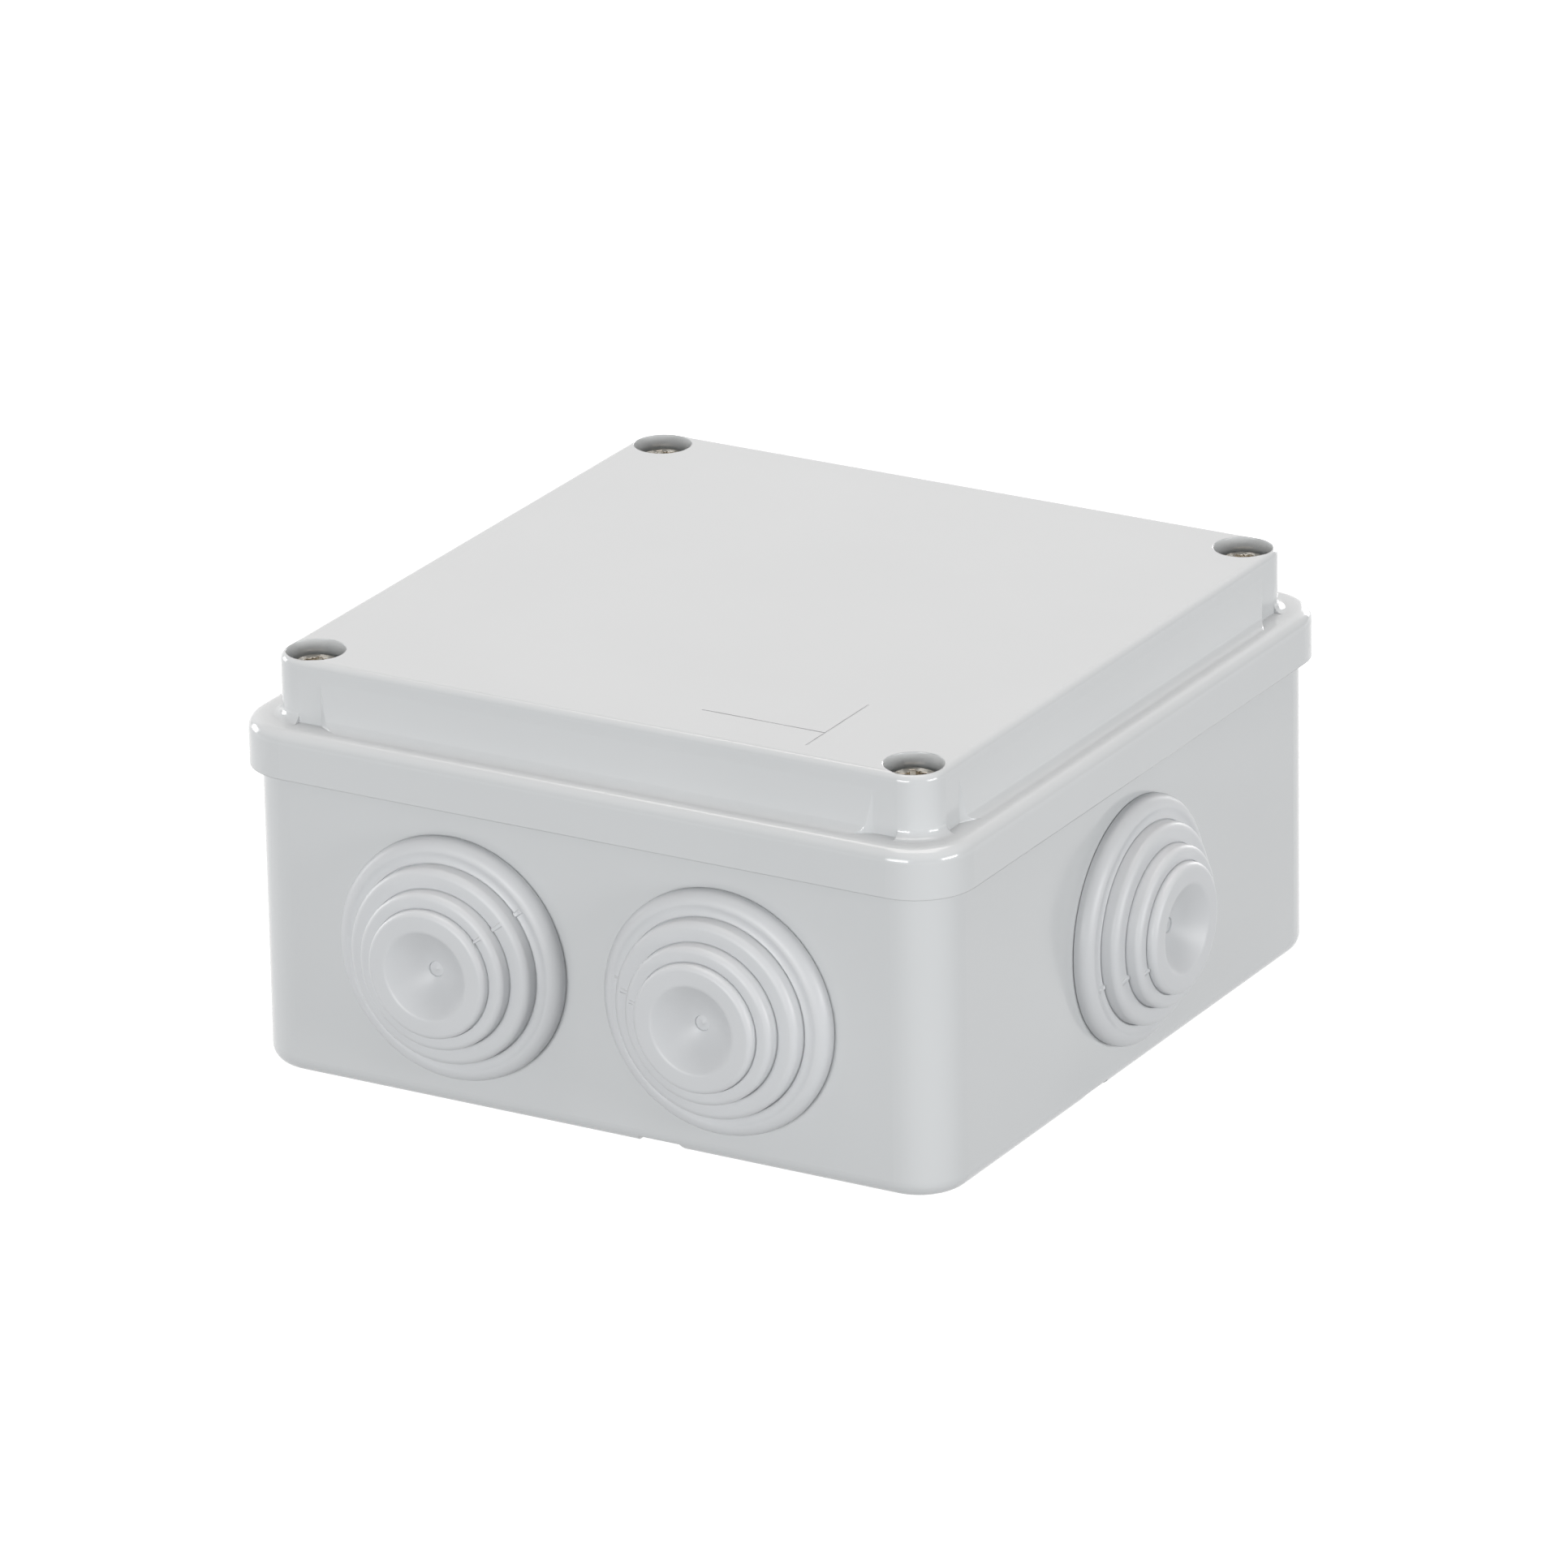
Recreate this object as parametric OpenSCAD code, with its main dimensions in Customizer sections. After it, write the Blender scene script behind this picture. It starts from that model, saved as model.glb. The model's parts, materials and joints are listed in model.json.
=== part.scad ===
// Surface-mounted electrical junction box, 100 x 100 x 50 mm size class, with a screwed
// lid, a lid gasket, six stepped cable glands and a five-pole terminal block inside.
// +Z points away from the wall. The origin is the centre of the back face.

/* [Base] */
// Outside width of the base, square
base_w = 104.8; // [102:0.2:105.2]
// Radius of the base's upright corners
base_corner_r = 7.2; // [6.6:0.2:8]
// Rounding of the base's back edges
base_edge_r = 2.3; // [1:0.1:3]
// Wall thickness of the base
wall_t = 2.4; // [2:0.1:2.8]
// Floor thickness of the base
floor_t = 2.5; // [2:0.1:3]
// Height of the base's rim above the back face
rim_z = 45.4; // [44.8:0.2:45.6]

/* [Lid] */
// Outside width of the lid's skirt, square
lid_w = 108; // [107.6:0.2:110]
// Radius of the skirt's upright corners
lid_corner_r = 8.4; // [8:0.2:9]
// Height of the skirt's lower edge above the back face
skirt_z = 42.3; // [40:0.1:43]
// Height of the ledge round the lid's raised part
ledge_z = 49; // [48.8:0.1:49.4]
// Height of the lid's top face
top_z = 57.65; // [57.2:0.05:60]
// Rounding of the ledge's outer edge
ledge_edge_r = 1.8; // [1:0.1:2]
// Rounding of the top face's edge
top_edge_r = 1.1; // [0.6:0.1:1.2]
// Half width of the raised part at its top edge
cap_top_half = 49.5; // [49.2:0.1:49.6]
// Half width of the raised part at its foot
cap_foot_half = 50.3; // [50:0.1:50.6]
// Fillet between the raised part and the ledge
foot_fillet_r = 1.3; // [0.8:0.1:1.5]
// Thickness of the lid's top face and raised walls
lid_t = 2.2; // [2:0.1:2.4]

/* [Lid screws] */
// Distance of each lid screw from the box's middle, along both sides
screw_off = 45; // [44.8:0.1:45.2]
// Radius of the well that the screw head sits in
well_r = 4; // [3.9:0.05:4.1]
// Height of the seat under the screw head
seat_z = 53; // [52.8:0.1:53.2]
// Radius of the screw head
head_r = 3.4; // [3.2:0.1:3.5]
// Height of the screw head
head_h = 3.1; // [2.2:0.1:3.4]
// Radius of the threaded shank
shank_r = 1.95; // [1.9:0.01:1.98]
// Length of the screw under its head
screw_len = 18; // [17:0.5:19]

/* [Cable glands] */
// Height of the gland axes above the back face
gland_z = 21.5; // [21:0.1:22]
// Distance between the two glands on one side
gland_pitch = 40.2; // [39:0.2:41]
// Radius of the opening in the wall for each gland
entry_r = 13.5; // [13:0.1:13.8]
// Radius of the gland's flange, its widest step
flange_r = 16.95; // [16.5:0.05:17.5]
// Radius of the gland's outermost step
end_step_r = 8.9; // [8.6:0.05:9.2]
// How far the gland's end stands out from the wall
gland_len = 8; // [7.8:0.1:8.4]

/* [Terminal block] */
// Distance between poles
pole_pitch = 9; // [8.6:0.1:9.2]
// Distance from the middle of the block to each fixing screw
block_ear_x = 26.8; // [26.8:0.1:28]

/* [Wall fixing] */
// Distance between the wall-fixing holes, both ways
fixing_pitch = 72; // [70:0.5:73]
// Radius of the wall-fixing holes
fixing_hole_r = 2.25; // [2:0.05:2.5]

/* [Hidden] */
$fn = 96;
slack = 0.5; // overlap that makes cuts and joints clean
gap = 0.3; // play between the lid's skirt and the base
seat_gap = 0.05; // play between parts that only rest on each other

base_half = base_w / 2;
room_half = base_half - wall_t;
room_corner_r = base_corner_r - wall_t;
room_edge_r = 1;
post_r = 4.9;
post_inset = 1; // how far the corner posts stay inside the base's outer face
notch_w = 6.1;
notch_h = 1.1;
notch_slope = 0.7;
notch_depth = 3;
notch_off = 10; // from the middle of a side

lid_half = lid_w / 2;
skirt_in_half = base_half + gap;
skirt_in_r = lid_corner_r - (lid_half - skirt_in_half);
gasket_t = 1.2;
ledge_under_z = rim_z + gasket_t;
gasket_w = 2.7;
gasket_play = 0.15;
gasket_half = skirt_in_half - gasket_play;
gasket_r = skirt_in_r - gasket_play;
boss_r = 4.65;
boss_half = screw_off + boss_r;
boss_block = 8.1; // side of the square corner block that carries a screw boss
wall_end_slope = 1.7; // how slowly a raised wall runs out towards the block
foot_bite = 0.001; // how far the foot fillet reaches into the sloping wall
cap_lean = atan((cap_foot_half - cap_top_half) / (top_z - top_edge_r - ledge_z));
hollow_half = cap_top_half - lid_t;
hollow_r = 3;
hollow_edge_r = 1;
hollow_top_z = top_z - lid_t;
rib_t = 1.3;
rib_half_len = 36;
rib_z = 43.6;
web_t = 2; // web under the screw head
web_hole_r = 2.25;
pocket_r = 3.5;
panel_x = [11.3, 29.5]; // blank label panel moulded into the lid's top
panel_y = [-45.8, -29.6];
panel_line_y = -41;
panel_line_w = 0.2;
panel_line_deep = 0.04;

retainer_r = 3.2;
retainer_hole_r = shank_r + seat_gap;
retainer_t = 1;
retainer_z = 42.5;
post_pocket_z = retainer_z - seat_gap;
post_bore_r = shank_r + 0.1;
post_bore_z = 33;
cross_w = 0.95;
cross_len = 4;
cross_deep = 1.7;
screw_edge_r = 1.1;
tip_h = 1.6;
tip_r = 0.9;

step_r = [flange_r, 13.65, 10.95, end_step_r]; // gland steps, from the wall outwards
step_t = [2.5, 4.7, 6.7, gland_len]; // each step's face from the wall
step_edge_r = [1.7, 1, 0.85, 0.8];
bead_r = 14.6; // bead of the gland behind the wall
bead_lead_r = 13;
bead_t = 2.6;
bead_land = 1; // where the bead's lead-in starts, from the wall's inner face
bead_edge = 0.4;
gland_neck_r = entry_r - 0.05;
cup_r = [12, 9.4, 7.4]; // steps of the hollow inside the gland
cup_t = [3.3, 5, 6.6];
skin_mid_t = 3.9;
dish_r = 6.2;
dish_deep = 3.2;
dish_mid_r = 0.9;

fixing_off = fixing_pitch / 2;
fixing_boss_r = 6.2;
fixing_boss_z = 7.5;
fixing_well_r = 4.7;
fixing_floor_z = 3.6;
cap_plug_r = 4.65;
cap_plug_h = 2;
cap_head_r = 5.8;
cap_head_h = 1.2;
cap_tab = [4, 1.2, 1.4];
cap_edge_r = 0.4;

poles = 5;
pillar_r = 4.2;
pillar_z = 5.5;
pillar_bore_r = 1.6;
pillar_bore_z = 3.2;
barrier_t = 1.2;
barrier_h = 1.4;
block_end = 0.1; // plastic beyond the outer barriers
block_len = poles * pole_pitch + barrier_t + 2 * block_end;
block_w = 20;
block_z = 22;
ear_h = 5;
ear_r = 4.4;
ear_hole_r = 1.9;
brass = [5.8, 13, 8.5]; // outside of one brass terminal
brass_z = 8;
brass_slot = [4.4, 3.9]; // wire slot through the terminal, width and height
brass_slot_z = brass_z + 1.1;
chamber_play = 0.1;
mouth_r = 2.5;
driver_r = 2.8; // driver opening over each clamp screw
plate = [4, 5.5, 0.8];
plate_z = brass_slot_z + 0.05;
clamp_r = 1.5;
clamp_head_r = 2.4;
clamp_head_h = 2.2;
clamp_head_z = brass_z + brass[2] + 0.4;
slot_w = 0.8;
slot_deep = 1.1;
block_screw_head_r = 3;
block_screw_head_h = 2;
block_screw_r = 1.55;
block_screw_tip_z = 3.6;
block_screw_edge_r = 0.8;
block_cross = [3.4, 0.8, 1.2]; // length, width and depth of the cross recess

shell_grey = [0.80, 0.81, 0.82];
gland_grey = [0.84, 0.85, 0.87];
steel = [0.78, 0.77, 0.74];
brass_yellow = [0.83, 0.68, 0.36];
foam_grey = [0.30, 0.31, 0.32];
nylon = [0.93, 0.92, 0.88];

// Corner number 1 to 4 as signs along X and Y, going round from the front left.
function corner(k) = [[-1, -1], [1, -1], [1, 1], [-1, 1]][k - 1];

// X of pole number 1 to poles.
function pole_x(k) = (k - (poles + 1) / 2) * pole_pitch;

// Moves its children to corner k, the given distance from the middle along both sides.
module at_corner(k, off) {
    translate([corner(k)[0] * off, corner(k)[1] * off, 0]) children();
}

// Sweeps a profile round a rounded square. The profile's x runs outwards from the
// corner centres and its y is height.
module around(half, r) {
    c = half - r;
    for (turn = [0:90:270]) rotate(turn) {
        translate([c, c, 0]) rotate_extrude(angle = 90) children();
        translate([c, c, 0]) rotate([90, 0, 0]) linear_extrude(2 * c) children();
    }
}

// What a rounding of radius r takes off a square corner, seen from the arc's centre.
module corner_waste(r) {
    difference() {
        square(r + slack);
        circle(r);
    }
}

// Half section of a step, from its middle to radius r, with a rounded lower or upper edge.
module edge_section(r, z0, z1, low_r, high_r) {
    difference() {
        translate([0, z0]) square([r, z1 - z0]);
        if (low_r > 0) translate([r - low_r, z0 + low_r]) mirror([0, 1]) corner_waste(low_r);
        if (high_r > 0) translate([r - high_r, z1 - high_r]) corner_waste(high_r);
    }
}

// Rounded square block with rounded lower and upper edges.
module slab(half, r, z0, z1, low_r = 0, high_r = 0) {
    c = half - r;
    around(half, r) edge_section(r, z0, z1, low_r, high_r);
    translate([-c, -c, z0]) cube([2 * c, 2 * c, z1 - z0]);
}

// Upright cylinder between two heights.
module post(r, z0, z1) {
    translate([0, 0, z0]) cylinder(h = z1 - z0, r = r);
}

// Places a gland: side 0 is the front, then right, back and left; x runs along the side.
module on_side(side, x) {
    rotate(side * 90) translate([x, -base_half, gland_z]) rotate([90, 0, 0]) children();
}

// Every gland position as [side, distance along the side].
gland_places = [
    [0, -gland_pitch / 2], [0, gland_pitch / 2],
    [2, gland_pitch / 2], [2, -gland_pitch / 2],
    [3, 0], [1, 0]
];

// Shallow notch in the bottom edge of the near side, at x.
module edge_notch(x) {
    translate([x, -base_half + notch_depth, 0]) rotate([90, 0, 0])
        linear_extrude(notch_depth + slack) polygon([
            [-notch_w / 2 - notch_slope, -slack], [-notch_w / 2 - notch_slope, 0],
            [-notch_w / 2, notch_h], [notch_w / 2, notch_h],
            [notch_w / 2 + notch_slope, 0], [notch_w / 2 + notch_slope, -slack]
        ]);
}

module base() {
    color(shell_grey) difference() {
        union() {
            difference() {
                slab(base_half, base_corner_r, 0, rim_z, base_edge_r);
                slab(room_half, room_corner_r, floor_t, rim_z + slack, room_edge_r);
            }
            intersection() {
                union() for (k = [1:4]) at_corner(k, screw_off)
                    post(post_r, post_inset, rim_z);
                slab(base_half - post_inset, base_corner_r - post_inset, 0, rim_z);
            }
            for (k = [1:4]) at_corner(k, fixing_off)
                post(fixing_boss_r, floor_t - slack, fixing_boss_z);
            for (s = [-1, 1]) translate([s * block_ear_x, 0, 0])
                post(pillar_r, floor_t - slack, pillar_z);
        }
        for (k = [1:4]) at_corner(k, screw_off) {
            post(post_bore_r, post_bore_z, rim_z + slack);
            post(pocket_r, post_pocket_z, rim_z + slack);
        }
        for (k = [1:4]) at_corner(k, fixing_off) {
            post(fixing_hole_r, -slack, fixing_boss_z);
            post(fixing_well_r, fixing_floor_z, fixing_boss_z + slack);
        }
        for (s = [-1, 1]) translate([s * block_ear_x, 0, 0])
            post(pillar_bore_r, pillar_bore_z, pillar_z + slack);
        for (place = gland_places) on_side(place[0], place[1])
            post(entry_r, -wall_t - slack, slack);
        for (turn = [0, 180]) rotate(turn) {
            edge_notch(notch_off);
            rotate(90) edge_notch(-notch_off);
        }
    }
}

// Cross section of the lid's raised part between its screw bosses.
module raised_section() {
    high_z = top_z - top_edge_r;
    edge_half = cap_top_half - top_edge_r / cos(cap_lean);
    touch_x = edge_half + top_edge_r * cos(cap_lean);
    touch_z = high_z + top_edge_r * sin(cap_lean);
    polygon([
        [-cap_foot_half, ledge_z - slack], [cap_foot_half, ledge_z - slack],
        [cap_foot_half, ledge_z], [touch_x, touch_z],
        [-touch_x, touch_z], [-cap_foot_half, ledge_z]
    ]);
    translate([-edge_half, high_z - slack]) square([2 * edge_half, top_edge_r + slack]);
    for (s = [-1, 1]) {
        translate([s * edge_half, high_z]) circle(top_edge_r);
        mirror([s < 0 ? 1 : 0, 0]) foot_section(cap_foot_half - foot_bite, cap_lean);
    }
}

// Section of the fillet between the ledge and a wall whose foot is at x. The wall leans
// inwards by an angle.
module foot_section(x, lean = 0) {
    centre_x = x + foot_fillet_r * (1 / cos(lean) - tan(lean));
    touch_h = foot_fillet_r * (1 - sin(lean));
    difference() {
        translate([x - slack, ledge_z - slack])
            square([centre_x - x + slack, touch_h + slack]);
        translate([centre_x, ledge_z + foot_fillet_r]) circle(foot_fillet_r);
    }
}

module lid_outside() {
    wall_len = 2 * (boss_half - boss_block);
    slab(lid_half, lid_corner_r, skirt_z, ledge_z, 0, ledge_edge_r);
    slab(boss_half, boss_r, ledge_z - slack, top_z, 0, top_edge_r);
    for (turn = [0:90:270]) rotate(turn) translate([screw_off, screw_off, 0])
        rotate_extrude(angle = 90) foot_section(boss_r);
    for (turn = [0, 90]) rotate(turn) difference() {
        translate([0, wall_len / 2, 0]) rotate([90, 0, 0])
            linear_extrude(wall_len) raised_section();
        for (sx = [0, 1]) for (sy = [0, 1]) mirror([sx, 0, 0]) mirror([0, sy, 0])
            wall_end_cut(wall_len / 2);
    }
}

// What is taken off a raised wall so that it runs out towards the corner block at y.
module wall_end_cut(y) {
    reach = cap_foot_half + foot_fillet_r + 1 - boss_half;
    translate([boss_half, y, ledge_z - 2 * slack])
        linear_extrude(top_z - ledge_z + 4 * slack)
            polygon([[-1, wall_end_slope], [reach, -wall_end_slope * reach],
                [reach, wall_end_slope]]);
}

// Two fine lines of the blank label panel.
module panel_lines() {
    translate([panel_x[1], panel_y[0], top_z - panel_line_deep])
        cube([panel_line_w, panel_y[1] - panel_y[0], panel_line_deep + slack]);
    translate([panel_x[0], panel_line_y, top_z - panel_line_deep])
        cube([panel_x[1] - panel_x[0], panel_line_w, panel_line_deep + slack]);
}

module lid() {
    color(shell_grey) difference() {
        union() {
            difference() {
                lid_outside();
                slab(skirt_in_half, skirt_in_r, skirt_z - slack, ledge_under_z);
                difference() {
                    slab(hollow_half, hollow_r, ledge_under_z - slack, hollow_top_z, 0,
                        hollow_edge_r);
                    for (k = [1:4]) at_corner(k, screw_off)
                        post(boss_r, ledge_under_z, top_z);
                }
            }
            for (turn = [0:90:270]) rotate(turn)
                translate([-rib_half_len, hollow_half, rib_z])
                    cube([2 * rib_half_len, rib_t, ledge_under_z - rib_z + slack]);
        }
        for (k = [1:4]) at_corner(k, screw_off) {
            post(well_r, seat_z, top_z + slack);
            post(web_hole_r, seat_z - web_t - slack, seat_z + slack);
            post(pocket_r, ledge_under_z - slack, seat_z - web_t);
        }
        panel_lines();
    }
}

module lid_gasket() {
    color(foam_grey) around(gasket_half, gasket_r)
        translate([gasket_r - gasket_w, rim_z + seat_gap])
            square([gasket_w, gasket_t - seat_gap]);
}

module lid_screw(k) {
    color(steel) at_corner(k, screw_off) difference() {
        union() {
            rotate_extrude() edge_section(head_r, seat_z + seat_gap,
                seat_z + seat_gap + head_h, 0, screw_edge_r);
            post(shank_r, seat_z - screw_len + tip_h, seat_z + 2 * seat_gap);
            translate([0, 0, seat_z - screw_len])
                cylinder(h = tip_h, r1 = tip_r, r2 = shank_r);
        }
        for (turn = [0, 90]) rotate(turn)
            translate([-cross_len / 2, -cross_w / 2, seat_z + seat_gap + head_h - cross_deep])
                cube([cross_len, cross_w, cross_deep + slack]);
    }
}

module screw_retainer(k) {
    color(nylon) at_corner(k, screw_off) difference() {
        post(retainer_r, retainer_z, retainer_z + retainer_t);
        post(retainer_hole_r, retainer_z - slack, retainer_z + retainer_t + slack);
    }
}

// Half section of a gland's outside: four rounded steps, the neck through the wall and
// the bead behind it. x is radius, y is distance outwards from the wall's outer face.
module gland_outside() {
    for (i = [0:3]) edge_section(step_r[i], i == 0 ? 0 : step_t[i - 1] - slack,
        step_t[i], 0, step_edge_r[i]);
    polygon([
        [0, slack], [0, -wall_t - bead_t], [bead_lead_r, -wall_t - bead_t],
        [bead_r, -wall_t - bead_land], [bead_r, -wall_t - bead_edge],
        [bead_r - bead_edge, -wall_t],
        [gland_neck_r, -wall_t], [gland_neck_r, slack]
    ]);
}

// Half section of the hollow inside a gland, closed at its end by a thin dished skin.
module gland_hollow() {
    difference() {
        for (i = [0:2]) translate([0, -wall_t - bead_t - slack])
            square([cup_r[i], cup_t[i] + wall_t + bead_t + slack]);
        polygon([
            [-slack, skin_mid_t], [dish_mid_r, skin_mid_t], [cup_r[2], cup_t[2]],
            [cup_r[2], cup_t[2] + slack], [-slack, cup_t[2] + slack]
        ]);
    }
}

// Half section of the dish in the gland's end.
module gland_dish() {
    end_t = step_t[3];
    polygon([
        [0, end_t - dish_deep], [dish_mid_r, end_t - dish_deep], [dish_r, end_t],
        [dish_r, end_t + slack], [0, end_t + slack]
    ]);
}

module gland(i) {
    color(gland_grey) on_side(gland_places[i][0], gland_places[i][1]) rotate_extrude()
        difference() {
            gland_outside();
            gland_hollow();
            gland_dish();
        }
}

module fixing_cap(k) {
    plug_z = fixing_boss_z - cap_plug_h;
    head_z = fixing_boss_z + seat_gap;
    color(shell_grey) at_corner(k, fixing_off) {
        post(cap_plug_r, plug_z, head_z + slack);
        rotate_extrude() edge_section(cap_head_r, head_z, head_z + cap_head_h, 0, cap_edge_r);
        translate([-cap_tab[0] / 2, -cap_tab[1] / 2, head_z + slack])
            cube([cap_tab[0], cap_tab[1], cap_head_h - slack + cap_tab[2]]);
    }
}

// Body of the terminal block before its chambers are cut.
module block_body() {
    translate([-block_len / 2, -block_w / 2, pillar_z])
        cube([block_len, block_w, block_z - pillar_z]);
    for (k = [0:poles]) translate([pole_x(k) + (pole_pitch - barrier_t) / 2,
            -block_w / 2, block_z - slack])
        cube([barrier_t, block_w, barrier_h + slack]);
    for (s = [-1, 1]) {
        translate([s * block_ear_x, 0, 0]) post(ear_r, pillar_z, pillar_z + ear_h);
        translate([s > 0 ? block_len / 2 - slack : -block_ear_x, -ear_r, pillar_z])
            cube([block_ear_x - block_len / 2 + slack, 2 * ear_r, ear_h]);
    }
}

module terminal_block() {
    chamber = [brass[0] + 2 * chamber_play, brass[1] + 2 * chamber_play];
    color(nylon) difference() {
        block_body();
        for (k = [1:poles]) translate([pole_x(k), 0, 0]) {
            translate([-chamber[0] / 2, -chamber[1] / 2, pillar_z - slack])
                cube([chamber[0], chamber[1], brass_z + brass[2] + chamber_play
                    - pillar_z + slack]);
            post(driver_r, brass_z + brass[2], block_z + barrier_h + slack);
            translate([0, 0, brass_slot_z + brass_slot[1] / 2]) rotate([90, 0, 0])
                cylinder(h = block_w + 2 * slack, r = mouth_r, center = true);
        }
        for (s = [-1, 1]) translate([s * block_ear_x, 0, 0])
            post(ear_hole_r, pillar_z - slack, pillar_z + ear_h + slack);
    }
}

module block_screws() {
    head_z = pillar_z + ear_h + seat_gap;
    color(steel) for (s = [-1, 1]) translate([s * block_ear_x, 0, 0]) difference() {
        union() {
            rotate_extrude() edge_section(block_screw_head_r, head_z,
                head_z + block_screw_head_h, 0, block_screw_edge_r);
            post(block_screw_r, block_screw_tip_z, head_z + seat_gap);
        }
        for (turn = [0, 90]) rotate(turn)
            translate([-block_cross[0] / 2, -block_cross[1] / 2,
                    head_z + block_screw_head_h - block_cross[2]])
                cube([block_cross[0], block_cross[1], block_cross[2] + slack]);
    }
}

module brass_terminal(k) {
    color(brass_yellow) translate([pole_x(k), 0, 0]) difference() {
        translate([-brass[0] / 2, -brass[1] / 2, brass_z]) cube(brass);
        translate([-brass_slot[0] / 2, -brass[1] / 2 - slack, brass_slot_z])
            cube([brass_slot[0], brass[1] + 2 * slack, brass_slot[1]]);
        post(clamp_r + chamber_play, brass_slot_z, brass_z + brass[2] + slack);
    }
}

module pressure_plate(k) {
    color(steel) translate([pole_x(k) - plate[0] / 2, -plate[1] / 2, plate_z]) cube(plate);
}

module clamp_screw(k) {
    shank_z = plate_z + plate[2] + seat_gap;
    color(steel) translate([pole_x(k), 0, 0]) difference() {
        union() {
            post(clamp_r, shank_z, clamp_head_z + seat_gap);
            post(clamp_head_r, clamp_head_z, clamp_head_z + clamp_head_h);
        }
        translate([-clamp_head_r - slack, -slot_w / 2,
                clamp_head_z + clamp_head_h - slot_deep])
            cube([2 * (clamp_head_r + slack), slot_w, slot_deep + slack]);
    }
}

base();
lid();
lid_gasket();
for (k = [1:4]) {
    lid_screw(k);
    screw_retainer(k);
    fixing_cap(k);
}
gland(0);  // gland_front_left
gland(1);  // gland_front_right
gland(2);  // gland_back_left
gland(3);  // gland_back_right
gland(4);  // gland_left
gland(5);  // gland_right
terminal_block();
block_screws();
for (k = [1:poles]) {
    brass_terminal(k);
    pressure_plate(k);
    clamp_screw(k);
}
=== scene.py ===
import json
import math

import bmesh
import bpy
from mathutils import Matrix, Vector


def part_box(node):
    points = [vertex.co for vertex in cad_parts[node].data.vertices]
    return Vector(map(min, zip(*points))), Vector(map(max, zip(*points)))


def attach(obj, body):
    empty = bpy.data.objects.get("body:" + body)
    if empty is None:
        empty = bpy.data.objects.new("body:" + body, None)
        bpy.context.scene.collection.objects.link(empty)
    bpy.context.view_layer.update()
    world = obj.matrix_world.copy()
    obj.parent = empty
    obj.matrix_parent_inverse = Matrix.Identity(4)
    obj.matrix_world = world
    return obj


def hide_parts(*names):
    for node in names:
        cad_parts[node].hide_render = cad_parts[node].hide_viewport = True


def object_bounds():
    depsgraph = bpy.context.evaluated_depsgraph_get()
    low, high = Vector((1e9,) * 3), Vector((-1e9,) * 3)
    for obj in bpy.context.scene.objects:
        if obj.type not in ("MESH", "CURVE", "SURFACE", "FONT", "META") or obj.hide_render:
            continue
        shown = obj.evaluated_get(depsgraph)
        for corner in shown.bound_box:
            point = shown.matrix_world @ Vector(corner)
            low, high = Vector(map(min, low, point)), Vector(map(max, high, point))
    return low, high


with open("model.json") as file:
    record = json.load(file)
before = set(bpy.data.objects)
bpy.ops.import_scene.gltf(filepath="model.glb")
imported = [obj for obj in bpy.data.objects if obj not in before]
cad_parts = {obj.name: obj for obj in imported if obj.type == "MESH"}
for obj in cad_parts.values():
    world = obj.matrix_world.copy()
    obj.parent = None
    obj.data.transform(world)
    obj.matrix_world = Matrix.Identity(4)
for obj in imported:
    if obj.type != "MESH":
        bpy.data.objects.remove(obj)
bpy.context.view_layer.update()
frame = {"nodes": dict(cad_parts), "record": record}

MM = 0.001
NODES = frame["nodes"]
BODY_OF = {n: b for b, ns in frame["record"]["behaviour"]["bodies"].items() for n in ns}
SLOT_OF = {s["node"]: s["material_slot"] for s in frame["record"]["subparts"]}
CORNERS = range(1, 5)
POLES = range(1, 6)
GLANDS = [n for n in NODES if n.startswith("gland_")]


# ---------------------------------------------------------------- camera

VIEW_AZIMUTH = 30.24  # degrees, from in front of the near side towards the right
VIEW_ELEVATION = 21.26
VIEW_ROLL = -1.07
VIEW_DISTANCE = 1.6155
VIEW_SIDE = 0.00048  # the picture's centre from the box's axis, to the side and up
VIEW_UP = -0.00216
LENS_MM = 278.05
SENSOR_MM = 36


def direction(azimuth, elevation):
    """Unit vector from the box towards a place at these angles, in degrees."""
    a, e = math.radians(azimuth), math.radians(elevation)
    return Vector((math.sin(a) * math.cos(e), -math.cos(a) * math.cos(e), math.sin(e)))


def add_camera():
    low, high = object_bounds()
    target = Vector((0, 0, (Vector(low).z + Vector(high).z) / 2))
    back = direction(VIEW_AZIMUTH, VIEW_ELEVATION)
    right = direction(VIEW_AZIMUTH + 90, 0)
    up = back.cross(right)
    roll = Matrix.Rotation(math.radians(VIEW_ROLL), 3, "Z")
    turn = Matrix((right, up, back)).transposed() @ roll
    place = target + turn @ Vector((-VIEW_SIDE, -VIEW_UP, VIEW_DISTANCE))
    data = bpy.data.cameras.new("camera")
    data.lens = LENS_MM
    data.sensor_width = SENSOR_MM
    camera = bpy.data.objects.new("camera", data)
    camera.matrix_world = Matrix.Translation(place) @ turn.to_4x4()
    bpy.context.scene.collection.objects.link(camera)
    bpy.context.scene.camera = camera


# ---------------------------------------------------------------- light and floor

SKY_COLOR = (0.98, 0.99, 1.0)
SKY_STRENGTH = 0.28
WHITE = (1, 1, 1)
WARM = (1, 0.95, 0.92)
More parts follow.
